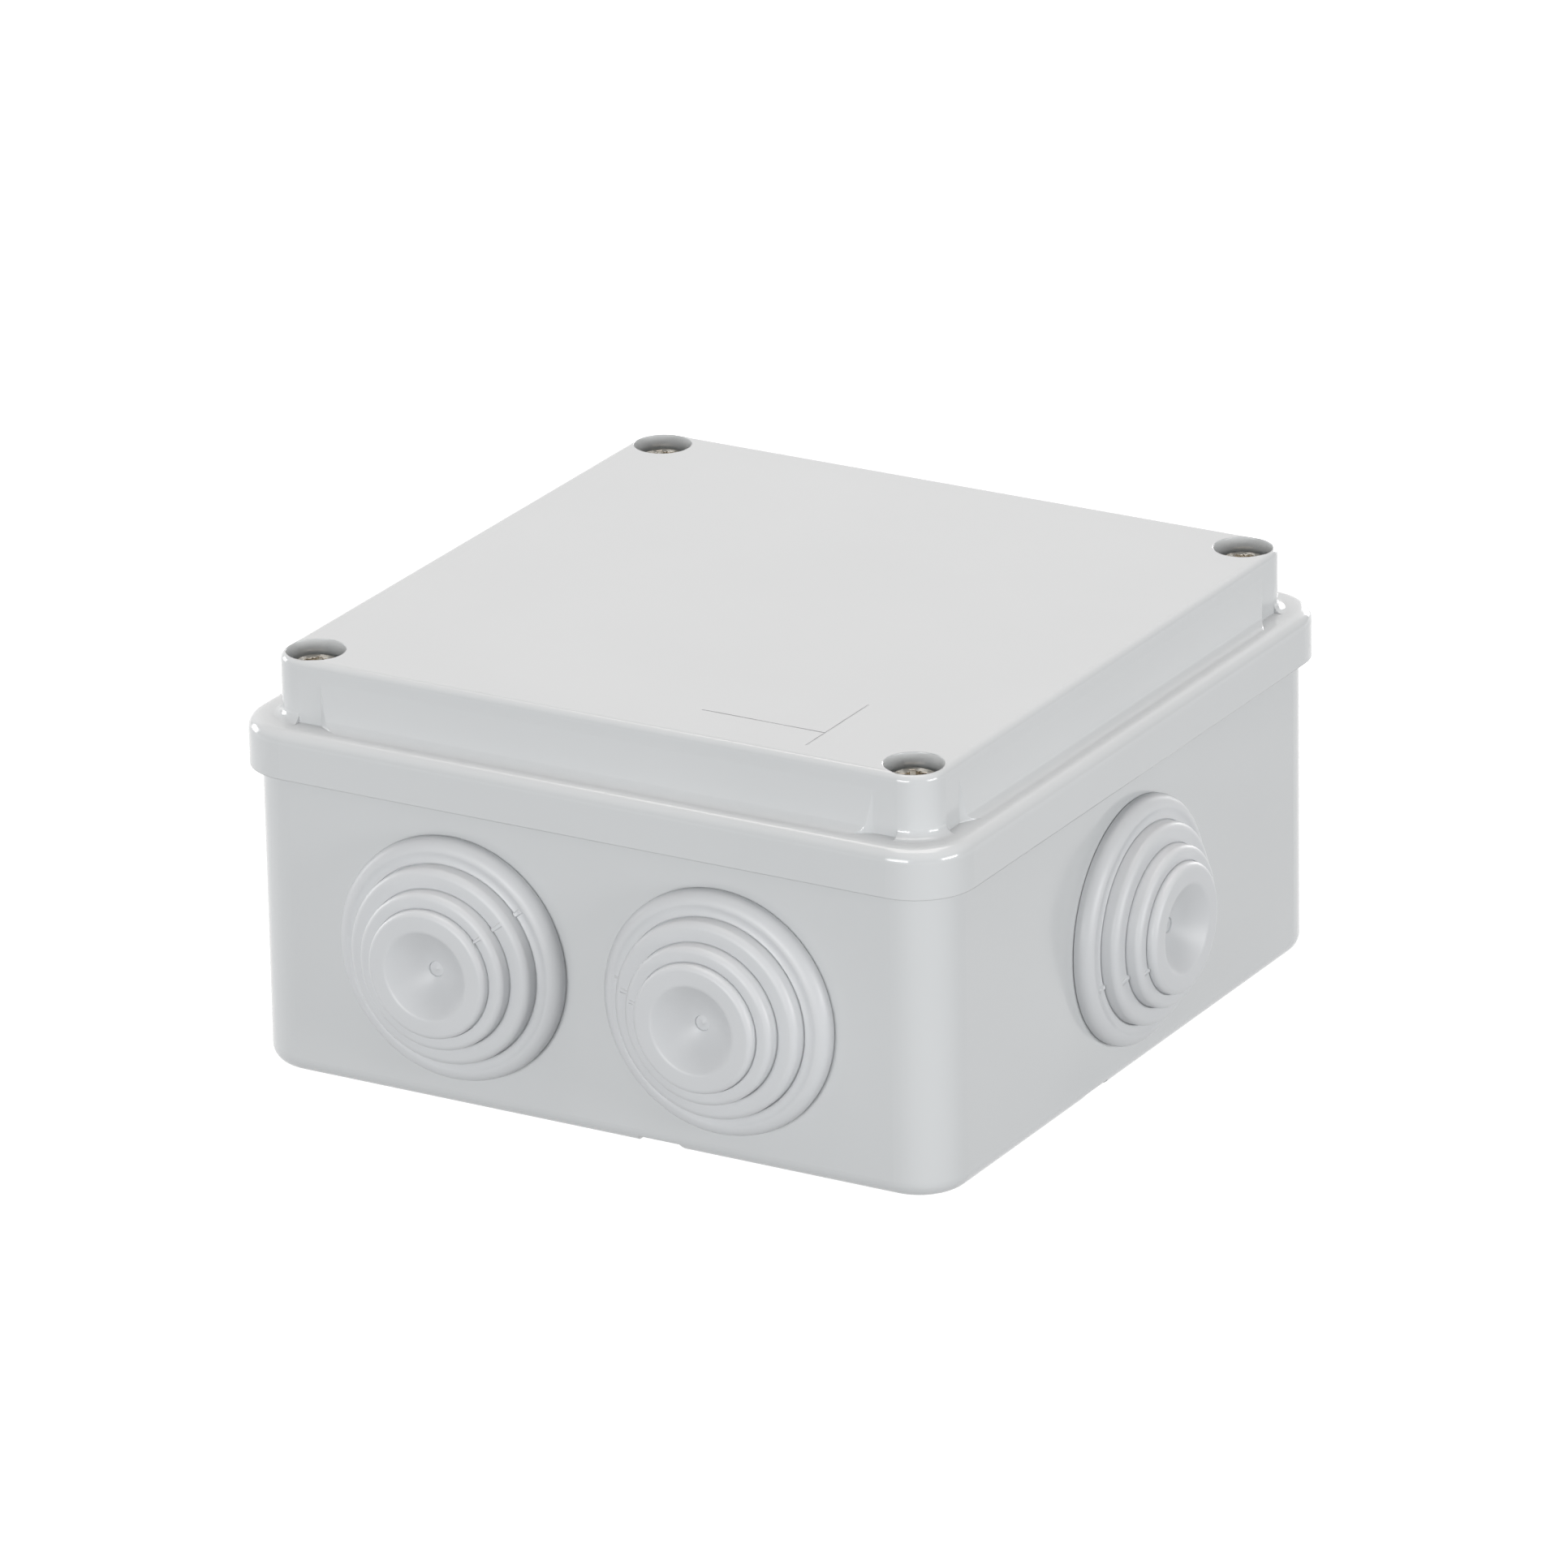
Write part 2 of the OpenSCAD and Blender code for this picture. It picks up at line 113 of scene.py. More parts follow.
# Azimuth and elevation in degrees, distance and size in metres, power in watts. The backdrop
# lights the lid's top by reflection, the near lamps light the two near sides.
LIGHTS = {
    "overhead": (210, 80, 1.6, (1.2, 1.2), 16.6, WARM),
    "backdrop": (210, 22, 2.2, (3.4, 1.6), 12.5, WHITE),
    "rear_lamp": (184, 10, 1.6, (0.6, 0.6), 8, WHITE),
    "far_lamp": (266, 10, 1.6, (0.6, 0.6), 8, WHITE),
    "left_lamp": (-1, 10, 1.6, (0.9, 0.4), 15, WHITE),
    "right_lamp": (87, 10, 1.6, (0.9, 0.4), 13.7, WHITE),
}
FLOOR_HALF = 6  # metres
FLOOR_GAP = 0.0001  # how far the floor lies under the box
FLOOR_GREY = 0.3
FLOOR_GLOW = 0.92


def add_world(color, strength):
    world = bpy.data.worlds.new("studio")
    world.use_nodes = True
    background = world.node_tree.nodes["Background"]
    background.inputs["Color"].default_value = (*color, 1)
    background.inputs["Strength"].default_value = strength
    bpy.context.scene.world = world


def add_light(name, azimuth, elevation, distance, size, power, color):
    """Rectangular area light that faces the box from a distance in metres."""
    data = bpy.data.lights.new(name, "AREA")
    data.shape = "RECTANGLE"
    data.size, data.size_y = size
    data.energy = power
    data.color = color
    lamp = bpy.data.objects.new(name, data)
    towards = direction(azimuth, elevation)
    lamp.location = towards * distance
    lamp.rotation_euler = towards.to_track_quat("Z", "Y").to_euler()
    bpy.context.scene.collection.objects.link(lamp)


def add_floor():
    mesh = bpy.data.meshes.new("floor")
    half = FLOOR_HALF
    corners = [(-half, -half, 0), (half, -half, 0), (half, half, 0), (-half, half, 0)]
    mesh.from_pydata(corners, [], [(0, 1, 2, 3)])
    floor = bpy.data.objects.new("floor", mesh)
    low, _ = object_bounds()
    floor.location.z = Vector(low).z - FLOOR_GAP
    bpy.context.scene.collection.objects.link(floor)
    material = bpy.data.materials.new("floor_white")
    material.use_nodes = True
    shader = material.node_tree.nodes["Principled BSDF"]
    shader.inputs["Base Color"].default_value = (FLOOR_GREY, FLOOR_GREY, FLOOR_GREY, 1)
    shader.inputs["Roughness"].default_value = 0.9
    shader.inputs["Specular IOR Level"].default_value = 0
    shader.inputs["Emission Color"].default_value = (*WHITE, 1)
    shader.inputs["Emission Strength"].default_value = FLOOR_GLOW
    mesh.materials.append(material)
    floor.visible_diffuse = False  # its bounce would flatten the walls


# ---------------------------------------------------------------- materials

NOISE_LOW, NOISE_HIGH = 0.3, 0.7  # where a noise's numbers mostly lie
RAMP_START, RAMP_END = 0.35, 0.65
EDGE_SAMPLES = 8
WELL_SHADE = (0.46, 0.51, 0.54)  # painted shade: what the colour is multiplied by deep in a screw well
WELL_REACH = 0.009  # metres
WELL_Z = 0.0525  # no painted shade below this height
WELL_OPEN, WELL_DEEP = 0.42, 0.2  # openness at which the shade starts and is full


class Nodes:
    """Short calls for building one material's node tree."""

    def __init__(self, name):
        self.material = bpy.data.materials.new(name)
        self.material.use_nodes = True
        self.tree = self.material.node_tree
        self.shader = self.tree.nodes["Principled BSDF"]
        self.place = self.tree.nodes.new("ShaderNodeTexCoord").outputs["Object"]

    def set(self, **values):
        for key, value in values.items():
            socket = self.shader.inputs[key.replace("_", " ")]
            if isinstance(value, (int, float)):
                socket.default_value = value
            elif isinstance(value, tuple):
                socket.default_value = (*value, 1)
            else:
                self.tree.links.new(value, socket)

    def noise(self, size, detail=3, roughness=0.5, stretch=None):
        """Noise whose blobs are about size metres across."""
        node = self.tree.nodes.new("ShaderNodeTexNoise")
        node.inputs["Scale"].default_value = 1 / size
        node.inputs["Detail"].default_value = detail
        node.inputs["Roughness"].default_value = roughness
        place = self.place
        if stretch:
            scale = self.tree.nodes.new("ShaderNodeMapping")
            scale.inputs["Scale"].default_value = stretch
            self.tree.links.new(self.place, scale.inputs["Vector"])
            place = scale.outputs["Vector"]
        self.tree.links.new(place, node.inputs["Vector"])
        return node.outputs["Fac"]

    def ramp(self, value, low, high):
        """Blends between two colours over the middle of a noise's range."""
        node = self.tree.nodes.new("ShaderNodeValToRGB")
        node.color_ramp.elements[0].position = RAMP_START
        node.color_ramp.elements[1].position = RAMP_END
        node.color_ramp.elements[0].color = (*low, 1)
        node.color_ramp.elements[1].color = (*high, 1)
        self.tree.links.new(value, node.inputs["Fac"])
        return node.outputs["Color"]

    def spread(self, value, low, high):
        """Maps noise to numbers from low to high."""
        node = self.tree.nodes.new("ShaderNodeMapRange")
        node.inputs["From Min"].default_value = NOISE_LOW
        node.inputs["From Max"].default_value = NOISE_HIGH
        node.inputs["To Min"].default_value = low
        node.inputs["To Max"].default_value = high
        self.tree.links.new(value, node.inputs["Value"])
        return node.outputs["Result"]

    def soft_edges(self, radius):
        """Normals that round every edge by a radius in metres."""
        node = self.tree.nodes.new("ShaderNodeBevel")
        node.samples = EDGE_SAMPLES
        node.inputs["Radius"].default_value = radius
        return node.outputs["Normal"]

    def remap(self, value, start, end):
        """0 at start, 1 at end, clamped."""
        node = self.tree.nodes.new("ShaderNodeMapRange")
        node.inputs["From Min"].default_value = start
        node.inputs["From Max"].default_value = end
        self.tree.links.new(value, node.inputs["Value"])
        return node.outputs["Result"]

    def painted_well_shade(self, color, shade, reach, height):
        """Paints shade into a colour: multiplies it by shade deep inside holes about reach
        metres wide, above a height. Open faces and edges keep the colour."""
        node = self.tree.nodes.new("ShaderNodeAmbientOcclusion")
        node.samples = EDGE_SAMPLES
        node.only_local = True
        node.inputs["Distance"].default_value = reach
        parts = self.tree.nodes.new("ShaderNodeSeparateXYZ")
        self.tree.links.new(self.place, parts.inputs["Vector"])
        deep = self.remap(node.outputs["AO"], WELL_OPEN, WELL_DEEP)
        above = self.remap(parts.outputs["Z"], height, height + MM)
        both = self.tree.nodes.new("ShaderNodeMath")
        both.operation = "MULTIPLY"
        self.tree.links.new(deep, both.inputs[0])
        self.tree.links.new(above, both.inputs[1])
        mix = self.tree.nodes.new("ShaderNodeMix")
        mix.data_type = "RGBA"
        mix.blend_type = "MULTIPLY"
        mix.inputs["B"].default_value = (*shade, 1)
        self.tree.links.new(both.outputs["Value"], mix.inputs["Factor"])
        self.tree.links.new(color, mix.inputs["A"])
        return mix.outputs["Result"]

    def bump(self, height, depth, normal=None):
        """Bump of the given depth in metres, on top of another if given."""
        node = self.tree.nodes.new("ShaderNodeBump")
        node.inputs["Distance"].default_value = depth
        self.tree.links.new(height, node.inputs["Height"])
        if normal is not None:
            self.tree.links.new(normal, node.inputs["Normal"])
        return node.outputs["Normal"]


def shell_plastic():
    """Semi-gloss light grey moulded thermoplastic."""
    n = Nodes("shell_plastic")
    cloud = n.noise(0.03, 4)
    grain = n.noise(0.0006, 2)
    ripple = n.noise(0.012, 2)
    grey = n.ramp(cloud, (0.572, 0.586, 0.594), (0.582, 0.596, 0.604))
    n.set(
        # painted shade darkens the colour deep in the screw wells
        Base_Color=n.painted_well_shade(grey, WELL_SHADE, WELL_REACH, WELL_Z),
        Roughness=n.spread(grain, 0.13, 0.16),
        Normal=n.bump(grain, 0.0000006, n.bump(ripple, 0.000006, n.soft_edges(0.0003))),
        IOR=1.5,
    )
    return n.material


def gland_rubber():
    """Soft satin elastomer, a little lighter than the shell."""
    n = Nodes("gland_rubber")
    cloud = n.noise(0.012, 4)
    grain = n.noise(0.0004, 3, 0.6)
    n.set(
        Base_Color=n.ramp(cloud, (0.578, 0.590, 0.603), (0.592, 0.604, 0.617)),
        Roughness=n.spread(grain, 0.38, 0.46),
        Normal=n.bump(grain, 0.000001),
        IOR=1.46,
    )
    return n.material


def zinc_steel():
    """Bright zinc-plated steel with fine turning marks and a faint yellow tone."""
    n = Nodes("zinc_steel")
    cloud = n.noise(0.0012, 3)
    marks = n.noise(0.0003, 2, stretch=(1, 1, 8))
    n.set(
        Base_Color=n.ramp(cloud, (0.60, 0.54, 0.45), (0.82, 0.77, 0.69)),
        Metallic=1.0,
        Roughness=n.spread(cloud, 0.09, 0.16),
        Normal=n.bump(marks, 0.000002, n.soft_edges(0.00015)),
    )
    return n.material


def brass_metal():
    """Machined brass with light tarnish."""
    n = Nodes("brass_metal")
    cloud = n.noise(0.003, 4)
    marks = n.noise(0.0004, 2, stretch=(8, 1, 1))
    n.set(
        Base_Color=n.ramp(cloud, (0.70, 0.52, 0.22), (0.86, 0.68, 0.34)),
        Metallic=1.0,
        Roughness=n.spread(cloud, 0.24, 0.38),
        Normal=n.bump(marks, 0.000006),
    )
    return n.material


def foam():
    """Dark closed-cell foam."""
    n = Nodes("foam")
    cells = n.noise(0.0005, 4, 0.7)
    n.set(
        Base_Color=n.ramp(cells, (0.050, 0.052, 0.055), (0.095, 0.098, 0.102)),
        Roughness=n.spread(cells, 0.80, 0.95),
        Normal=n.bump(cells, 0.00012),
    )
    return n.material


def nylon():
    """Natural polyamide, slightly translucent."""
    n = Nodes("nylon")
    cloud = n.noise(0.003, 3)
    n.set(
        Base_Color=n.ramp(cloud, (0.74, 0.72, 0.65), (0.80, 0.78, 0.72)),
        Roughness=n.spread(cloud, 0.38, 0.48),
        Normal=n.bump(n.noise(0.0005), 0.000006),
        Subsurface_Weight=0.2,
        Subsurface_Scale=0.001,
    )
    return n.material


def block_polyamide():
    """Off-white moulded polyamide of the terminal block."""
    n = Nodes("block_polyamide")
    cloud = n.noise(0.008, 4)
    grain = n.noise(0.0005, 2)
    n.set(
        Base_Color=n.ramp(cloud, (0.72, 0.71, 0.66), (0.77, 0.76, 0.72)),
        Roughness=n.spread(grain, 0.40, 0.50),
        Normal=n.bump(grain, 0.00001),
    )
    return n.material


MATERIALS = {
    "shell": shell_plastic(),
    "gland": gland_rubber(),
    "gasket": foam(),
    "screw_steel": zinc_steel(),
    "nylon": nylon(),
    "block_plastic": block_polyamide(),
    "brass": brass_metal(),
}


# ---------------------------------------------------------------- mesh helpers

def add_piece(name, mesh, nodes, smooth_angle=30):
    """Puts a finished mesh in the scene as the piece that stands for these CAD nodes."""
    piece = bpy.data.objects.new(name, mesh)
    bpy.context.scene.collection.objects.link(piece)
    slot = SLOT_OF[nodes[0]]
    mesh.materials.clear()
    mesh.materials.append(MATERIALS[slot])
    mesh.shade_smooth()
    mesh.set_sharp_from_angle(angle=math.radians(smooth_angle))
    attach(piece, BODY_OF[nodes[0]])
    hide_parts(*nodes)
    return piece


def arc(centre, radius, start, end, count):
    """Points on an arc, angles in degrees, both ends included."""
    out = []
    for i in range(count + 1):
        a = math.radians(start + (end - start) * i / count)
        out.append((centre[0] + radius * math.cos(a), centre[1] + radius * math.sin(a)))
    return out


def line(start, end, count):
    """Points along a straight line, without its last one."""
    return [
        (start[0] + (end[0] - start[0]) * i / count, start[1] + (end[1] - start[1]) * i / count)
        for i in range(count)
    ]


def even_angles(count):
    return [2 * math.pi * i / count for i in range(count)]


def vert_at(bm, radius, angle, height):
    """New vertex at a radius and height in mm, at an angle round the axis."""
    x, y = radius * MM * math.cos(angle), radius * MM * math.sin(angle)
    return bm.verts.new((x, y, height * MM))


def join_rings(bm, below, above):
    """Faces between two rings of as many vertices."""
    for i in range(len(below)):
        j = (i + 1) % len(below)
        bm.faces.new((below[i], below[j], above[j], above[i]))


def finish_mesh(bm, name):
    """Turns the faces outwards and gives back the mesh."""
    bmesh.ops.recalc_face_normals(bm, faces=bm.faces)
    mesh = bpy.data.meshes.new(name)
    bm.to_mesh(mesh)
    bm.free()
    return mesh


def lathe(name, profile, angles, lift):
    """Closed surface made by turning a profile about +Z. The profile is a list of
    (radius, height) in mm that starts and ends on the axis. lift(radius, height, angle)
    gives an extra height."""
    bm = bmesh.new()
    rings = []
    for r, z in profile:
        if r == 0:
            rings.append([bm.verts.new((0, 0, z * MM))])
            continue
        rings.append([vert_at(bm, r, a, z + lift(r, z, a)) for a in angles])
    count = len(angles)
    for a, b in zip(rings, rings[1:]):
        for i in range(count):
            j = (i + 1) % count
            quad = [a[i % len(a)], a[j % len(a)], b[j % len(b)], b[i % len(b)]]
            bm.faces.new(list(dict.fromkeys(quad)))
    return finish_mesh(bm, name)


# ---------------------------------------------------------------- cable glands

STEP_R = (16.95, 13.65, 10.95, 8.9)  # mm, from the wall outwards
STEP_T = (2.5, 4.7, 6.7, 8.0)
STEP_EDGE_R = (1.7, 1.0, 0.85, 0.8)
GROOVE_W = 0.2  # fine groove round the foot of every step
GROOVE_DEEP = 0.22
CUP_R = (7.4, 9.4, 12.0)  # mm, the hollow inside, from the end inwards
CUP_T = (6.6, 5.0, 3.3)
DISH_R = 5.9  # where the hollow in the end meets its rounded lip
DISH_T = 4.8
DISH_LIP_T = 7.814
DISH_LIP_R = 0.9
DISH_POWER = 1.5  # 1 is a straight cone
GATE_R = 1.05  # round gate mark in the middle of the end
GATE_H = 0.04
NIB_R = (0.12, 0.25)  # its fine point, at the tip and at the foot
NIB_H = 0.1
FINE = 0.05  # how far the finest edges are broken
GATE_EDGE = 0.15
GATE_SIDE = 0.6  # where the mark's side ends, as a share of its height
GROOVE_ROUND = 0.1
GROOVE_LIP = 0.04
FLANGE_UNDER = (0.12, 0.3)  # how far the flange's edge is undercut at the wall
SKIN_T = 3.9
SKIN_R = 0.9
NECK_R = 13.45
WALL_T = 2.4
BEAD_R = 14.6
BEAD_LEAD_R = 13.0
BEAD_T = 2.6
BEAD_EDGE = 0.4
BEAD_BAND = 1
BEAD_LEAD_EDGE = (0.3, 0.2)
CUP_EDGE = 0.3
CUP_FOOT = 0.15
CUP_END = (0.8, 0.25)  # where the hollow's end leaves its side, inwards and down
DIP = 0.16  # how deep the flange's face dips between its edge and the next step
GLAND_SIDES = 144
TICK_H = 0.3  # mould ticks across the creases
TICK_LEN = 1.1
TICK_HALF_ANGLE = 0.014
TICK_STEPS = (-2, -1, -0.5, 0, 0.5, 1, 2)  # extra vertices round a tick, in half angles
TICK_CLEAR = 0.05  # no other vertices this near to a tick, in radians
TICK_REACH = 0.5  # how far above a crease a vertex still belongs to its tick


def gland_profile():
    """Outside from the middle of the dish to the wall, then back inside to the axis."""
    pts = [(0, DISH_T + GATE_H + NIB_H), (NIB_R[0], DISH_T + GATE_H + NIB_H)]
    pts += [(NIB_R[1], DISH_T + GATE_H), (GATE_R - GATE_EDGE, DISH_T + GATE_H)]
    pts += [(GATE_R - FINE, DISH_T + GATE_H * GATE_SIDE)]
    for i in range(17):
        f = i / 16
        r = GATE_R + FINE + (DISH_R - GATE_R - FINE) * f
        pts.append((r, DISH_T + (DISH_LIP_T - DISH_T) * (r / DISH_R) ** DISH_POWER))
    slope = math.atan(DISH_POWER * (DISH_LIP_T - DISH_T) / DISH_R)
    lip = (DISH_R + DISH_LIP_R * math.sin(slope), DISH_LIP_T - DISH_LIP_R * math.cos(slope))
    pts += arc(lip, DISH_LIP_R, 90 + math.degrees(slope), 90, 8)[1:]
    for k in (3, 2, 1, 0):
        r, t, e = STEP_R[k], STEP_T[k], STEP_EDGE_R[k]
        if k == 0:
            for i in range(1, 8):
                f = i / 8
                x = STEP_R[1] + GROOVE_W + (r - e - STEP_R[1] - GROOVE_W) * f
                pts.append((x, t - DIP * math.sin(math.pi * f)))
        pts += arc((r - e, t - e), e, 90, 0, 10)
        if k:
            foot = STEP_T[k - 1]
            pts += [(r, foot - GROOVE_DEEP + GROOVE_ROUND)]
            pts += [(r + GROOVE_ROUND, foot - GROOVE_DEEP)]
            pts += [(r + GROOVE_W - FINE, foot - GROOVE_LIP), (r + GROOVE_W + FINE, foot)]
    pts += [(STEP_R[0] - FLANGE_UNDER[0], FLANGE_UNDER[0]), (STEP_R[0] - FLANGE_UNDER[1], 0)]
    pts += [(NECK_R, 0), (NECK_R, -WALL_T)]
    pts += [(BEAD_R - BEAD_EDGE, -WALL_T), (BEAD_R, -WALL_T - BEAD_EDGE)]
    pts += [(BEAD_R, -WALL_T - BEAD_BAND)]
    back = -WALL_T - BEAD_T
    pts += [(BEAD_LEAD_R, back + BEAD_LEAD_EDGE[1]), (BEAD_LEAD_R - BEAD_LEAD_EDGE[0], back)]
    pts += [(CUP_R[2] + CUP_EDGE, back), (CUP_R[2], back + CUP_EDGE)]
    for k in (2, 1, 0):
        if k < 2:
            low = CUP_T[k + 1]
            pts += [(CUP_R[k] + CUP_FOOT, low), (CUP_R[k], low + CUP_FOOT)]
        pts += arc((CUP_R[k] - CUP_EDGE, CUP_T[k] - CUP_EDGE), CUP_EDGE, 0, 90, 3)
    pts += line((CUP_R[0] - CUP_END[0], CUP_T[0] - CUP_END[1]), (SKIN_R, SKIN_T), 5)
    pts += [(SKIN_R, SKIN_T), (0, SKIN_T)]
    return pts


def gland_frame(node):
    """Matrix that takes a gland built about +Z, with the wall at 0, to its place."""
    low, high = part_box(node)
    middle = (low + high) / 2
    axis = 0 if abs(middle.x) > abs(middle.y) else 1
    sign = 1 if middle[axis] > 0 else -1
    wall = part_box("base")[1][axis] * sign
    outwards = Vector((sign if axis == 0 else 0, sign if axis == 1 else 0, 0))
    up = Vector((0, 0, 1))
    turn = Matrix((up.cross(outwards), up, outwards)).transposed().to_4x4()
    place = Vector(middle)
    place[axis] = wall
    return Matrix.Translation(place) @ turn


def angle_between(a, b):
    return abs((a - b + math.pi) % (2 * math.pi) - math.pi)


def make_gland(node, tick_angle):
    """One gland. Its mould ticks lie at tick_angle, in degrees, from its own right."""
    tick = math.radians(tick_angle) % (2 * math.pi)
    near = [tick + TICK_HALF_ANGLE * s for s in TICK_STEPS]
    far = [a for a in even_angles(GLAND_SIDES) if angle_between(a, tick) > TICK_CLEAR]
    angles = sorted(a % (2 * math.pi) for a in near + far)
    just_over_half = TICK_HALF_ANGLE * 1.01

    def lift(r, t, a):
        if angle_between(a, tick) > just_over_half:
            return 0
        for k in (1, 2, 3):
            on_tick = STEP_R[k] - FINE <= r <= STEP_R[k] + TICK_LEN
            if on_tick and t < STEP_T[k - 1] + TICK_REACH:
                return TICK_H
        return 0

    mesh = lathe(node + "_soft", gland_profile(), angles, lift)
    mesh.transform(gland_frame(node))
    add_piece(node + "_soft", mesh, [node], 40)


TICK_ANGLES = {  # degrees
    "gland_front_left": 39,
    "gland_front_right": 170,
    "gland_right": 199,
    "gland_left": 120,
    "gland_back_left": 300,
    "gland_back_right": 35,
}


# ---------------------------------------------------------------- screws

# Shank radius, thread depth and pitch, in mm.
LID_THREAD = (1.93, 0.5, 1.5)
CLAMP_THREAD = (1.48, 0.26, 0.5)
BLOCK_THREAD = (1.53, 0.35, 1.1)
# Length, width and depth of a cross recess, in mm.
LID_CROSS = (4.1, 0.95, 1.7)
BLOCK_CROSS = (3.3, 0.8, 1.2)
CROSS_DROP = 0.1  # how far under the crown a recess is measured from
LID_HEAD_H = 3.1
LID_CROWN = 0.3
CLAMP_HEAD_H = 2.2
CLAMP_HEAD_EDGE = (0.15, 0.3)  # chamfer below and rounding above
CLAMP_SLOT = (0.4, 1.1)  # half width and depth
BLOCK_HEAD_H = 2
BLOCK_CROWN = 0.25
SCREW_SIDES = 40
THREAD_ROWS = 10  # rings for each turn of the thread
CREST_HALF = 0.32  # half of a ridge, as a share of the pitch
CREST_POWER = 0.8
TIP_LEN = 1.6  # length of the tapered tip, in shank radii
TIP_R = 0.4  # radius of its end, as a share of the shank's
HEAD_EDGE = 0.18  # chamfer under a pan head
DOME_H = 0.5
DOME_SHARE = 0.34  # how much of the radius the dome takes
CROWN_R = 0.66  # where the dome meets the flat crown, as a share of the radius
CROWN_SIDE = 0.4  # how much of the crown's height lies outside that radius
CROWN_MIDDLE = 0.9  # how far in towards the axis the crown's last ring lies
WING_TAPER = 0.55
SHORT_TAPER = 0.75  # least taper of a cutter's narrow side
CORE = (0.30, 0.6, 0.35)  # pyramid between the wings: half size, depth and taper
MARK_LEN = 0.36  # fine marks between the wings
MARK_HALF_W = 0.09
MARK_DEEP = 0.35
OVER = 1  # how far a cutter stands over the head
# Degrees, how each screw happens to stand.
LID_SCREW_TURNS = (12, 36, 68, 49)
CLAMP_SCREW_TURNS = (48, 85, 122, 159, 196)
BLOCK_SCREW_TURNS = (20, 65)


def thread_surface(bm, radius, depth, pitch, low, high):
    """Grid of vertices round a threaded shank from height low to high, in mm. The thread
    runs out at both ends. Returns its lowest and highest rings."""
    rows = int((high - low) / pitch * THREAD_ROWS)
    rings = []
    for j in range(rows + 1):
        z = low + (high - low) * j / rows
        fade = min(1, (z - low) / pitch, (high - z) / pitch)
        taper = min(1, (z - low) / (TIP_LEN * radius) * (1 - TIP_R) + TIP_R)
        ring = []
        for i, a in enumerate(even_angles(SCREW_SIDES)):
            turn = (z / pitch - i / SCREW_SIDES) % 1
            crest = max(0, 1 - abs(turn - 0.5) / CREST_HALF) ** CREST_POWER
            r = (radius - depth) * taper + depth * crest * fade * taper
            ring.append(vert_at(bm, r, a, z))
        rings.append(ring)
    for below, above in zip(rings, rings[1:]):
        join_rings(bm, below, above)
    return rings[0], rings[-1]


def head_rings(bm, below, profile):
    """Joins rings of a head's profile on to the ring below and closes the last one."""
    for r, z in profile:
        ring = [vert_at(bm, r, a, z) for a in even_angles(SCREW_SIDES)]
        join_rings(bm, below, ring)
        below = ring
    bm.faces.new(below)


def box_cutter(bm, half_x, half_y, low, high, taper, turn):
    """Closed box whose lower face is smaller by taper, turned about Z by degrees."""
    rot = Matrix.Rotation(math.radians(turn), 3, "Z")
    vs = []
    for z, k in ((low, taper), (high, 1.0)):
        for sx, sy in ((-1, -1), (1, -1), (1, 1), (-1, 1)):
            x = half_x * (k if half_x > half_y else max(k, SHORT_TAPER))
            y = half_y * (k if half_y > half_x else max(k, SHORT_TAPER))
            vs.append(bm.verts.new(rot @ Vector((sx * x, sy * y, z)) * MM))
    bm.faces.new(vs[3::-1])
    bm.faces.new(vs[4:])
    for i in range(4):
        j = (i + 1) % 4
        bm.faces.new((vs[i], vs[j], vs[j + 4], vs[i + 4]))


def cut(mesh, cutters):
    """Takes closed cutter meshes out of a mesh and returns the result."""
    work = bpy.data.objects.new("work", mesh)
    bpy.context.scene.collection.objects.link(work)
    tools = []
    for cutter in cutters:
        tool = bpy.data.objects.new("tool", cutter)
        bpy.context.scene.collection.objects.link(tool)
        tools.append(tool)
        modifier = work.modifiers.new("cut", "BOOLEAN")
        modifier.object = tool
        modifier.solver = "EXACT"
    bpy.context.view_layer.update()
    seen = work.evaluated_get(bpy.context.evaluated_depsgraph_get())
    result = bpy.data.meshes.new_from_object(seen)
    for o in (work, *tools):
        bpy.data.objects.remove(o)
    return result


def cutter_mesh(*boxes):
    """One mesh for each box given as the arguments of box_cutter."""
    meshes = []
    for box in boxes:
        bm = bmesh.new()
        box_cutter(bm, *box)
        meshes.append(finish_mesh(bm, "cutter"))
    return meshes


def screw_mesh(thread, tip, under_head, head, cutters):
    """Screw along +Z: heights tip and under_head, head is its list of (radius, height)."""
    bm = bmesh.new()
    low, high = thread_surface(bm, *thread, tip, under_head)
    bm.faces.new(list(reversed(low)))
    head_rings(bm, high, head)
    return cut(finish_mesh(bm, "screw"), cutters)


def pan_head(radius, low, high, crown):
    """Profile of a pan head with a slightly crowned top."""
    side = high - crown - DOME_H
    shoulder = high - crown * CROWN_SIDE
    pts = [(radius - HEAD_EDGE, low), (radius, low + HEAD_EDGE), (radius, side)]
    for i in range(1, 9):
        a = math.pi / 2 * i / 8
        inwards = (radius * DOME_SHARE) * (1 - math.cos(a))
        pts.append((radius - inwards, side + (shoulder - side) * math.sin(a)))
    for i in range(1, 5):
        f = i / 4
        r = radius * CROWN_R * (1 - f * CROWN_MIDDLE)
        pts.append((r, high - crown * CROWN_SIDE * (1 - f) ** 2))
    return pts


def cross_cutters(length, width, depth, crown_z):
    """Cross recess with tapered wings and the four fine marks between them."""
    top = crown_z - CROSS_DROP
    over = top + OVER
    core, core_deep, core_taper = CORE
    mark = (length * MARK_LEN, MARK_HALF_W, top - MARK_DEEP, over, 1.0)
    return cutter_mesh(
        (length / 2, width / 2, top - depth, over, WING_TAPER, 0),
        (width / 2, length / 2, top - depth, over, WING_TAPER, 0),
        (length * core, length * core, top - depth * core_deep, over, core_taper, 45),
        (*mark, 45),
        (*mark, 135),
    )


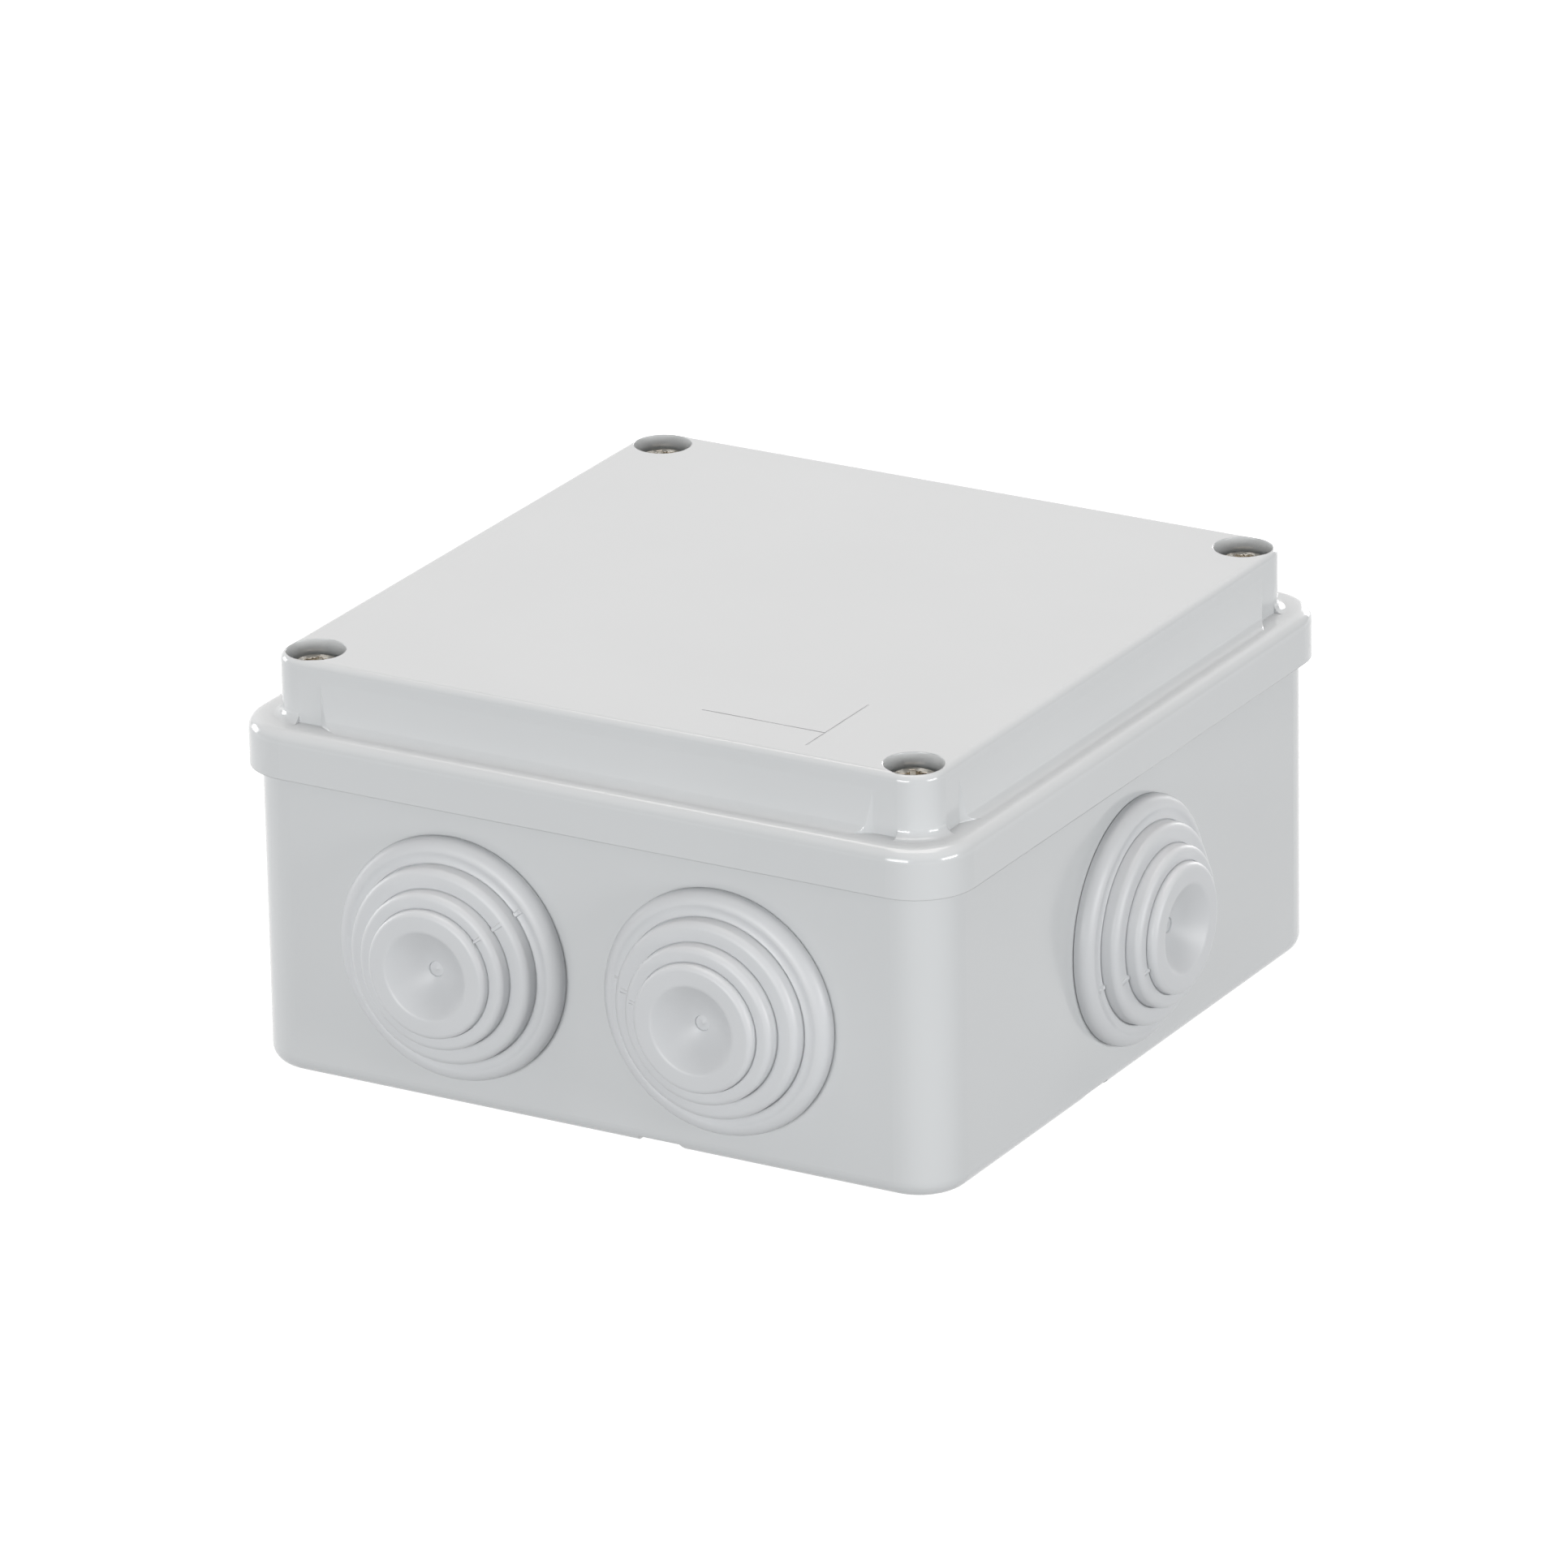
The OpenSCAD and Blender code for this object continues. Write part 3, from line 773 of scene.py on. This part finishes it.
def box_mm(node):
    """Lowest and highest corners of a CAD node, in mm."""
    low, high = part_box(node)
    return low / MM, high / MM


def stand(mesh, x, y, turned):
    """Turns a screw about its axis, in degrees, and puts it at x, y in mm."""
    turn = Matrix.Rotation(math.radians(turned), 4, "Z")
    mesh.transform(Matrix.Translation(Vector((x, y, 0)) * MM) @ turn)


def make_lid_screws():
    for k, turned in zip(CORNERS, LID_SCREW_TURNS):
        node = f"lid_screw_{k}"
        low, high = box_mm(node)
        radius = (high.x - low.x) / 2
        head_low = high.z - LID_HEAD_H
        mesh = screw_mesh(
            LID_THREAD, low.z, head_low,
            pan_head(radius, head_low, high.z, LID_CROWN),
            cross_cutters(*LID_CROSS, high.z),
        )
        stand(mesh, (low.x + high.x) / 2, (low.y + high.y) / 2, turned)
        add_piece(node + "_threaded", mesh, [node])


def make_clamp_screws():
    for k, turned in zip(POLES, CLAMP_SCREW_TURNS):
        node = f"clamp_screw_{k}"
        low, high = box_mm(node)
        radius = (high.x - low.x) / 2
        head_low = high.z - CLAMP_HEAD_H
        chamfer, edge = CLAMP_HEAD_EDGE
        head = [(radius - chamfer, head_low), (radius, head_low + chamfer)]
        head += arc((radius - edge, high.z - edge), edge, 0, 90, 4)
        head += [(radius * 0.5, high.z), (radius * 0.1, high.z)]
        half_w, deep = CLAMP_SLOT
        slot = cutter_mesh((radius + OVER / 2, half_w, high.z - deep, high.z + OVER, 1.0, 0))
        mesh = screw_mesh(CLAMP_THREAD, low.z, head_low, head, slot)
        stand(mesh, (low.x + high.x) / 2, (low.y + high.y) / 2, turned)
        add_piece(node + "_threaded", mesh, [node])


def make_block_screws():
    low, high = box_mm("block_screws")
    radius = (high.y - low.y) / 2
    head_low = high.z - BLOCK_HEAD_H
    places = (("left", low.x + radius), ("right", high.x - radius))
    for (name, x), turned in zip(places, BLOCK_SCREW_TURNS):
        mesh = screw_mesh(
            BLOCK_THREAD, low.z, head_low,
            pan_head(radius, head_low, high.z, BLOCK_CROWN),
            cross_cutters(*BLOCK_CROSS, high.z),
        )
        stand(mesh, x, 0, turned)
        add_piece(f"block_screw_{name}", mesh, ["block_screws"])


# ---------------------------------------------------------------- carried-over CAD nodes

def dress_cad_node(name):
    """Gives a CAD node its material and leaves its mesh alone."""
    node = NODES[name]
    for place in node.material_slots:
        place.material = MATERIALS[SLOT_OF[name]]


# ---------------------------------------------------------------- build

add_camera()
add_world(SKY_COLOR, SKY_STRENGTH)
for name, settings in LIGHTS.items():
    add_light(name, *settings)
add_floor()
bpy.context.scene.view_settings.view_transform = "Standard"

for gland in GLANDS:
    make_gland(gland, TICK_ANGLES[gland])
make_lid_screws()
make_clamp_screws()
make_block_screws()
for name, node in NODES.items():
    if not node.hide_render:
        dress_cad_node(name)
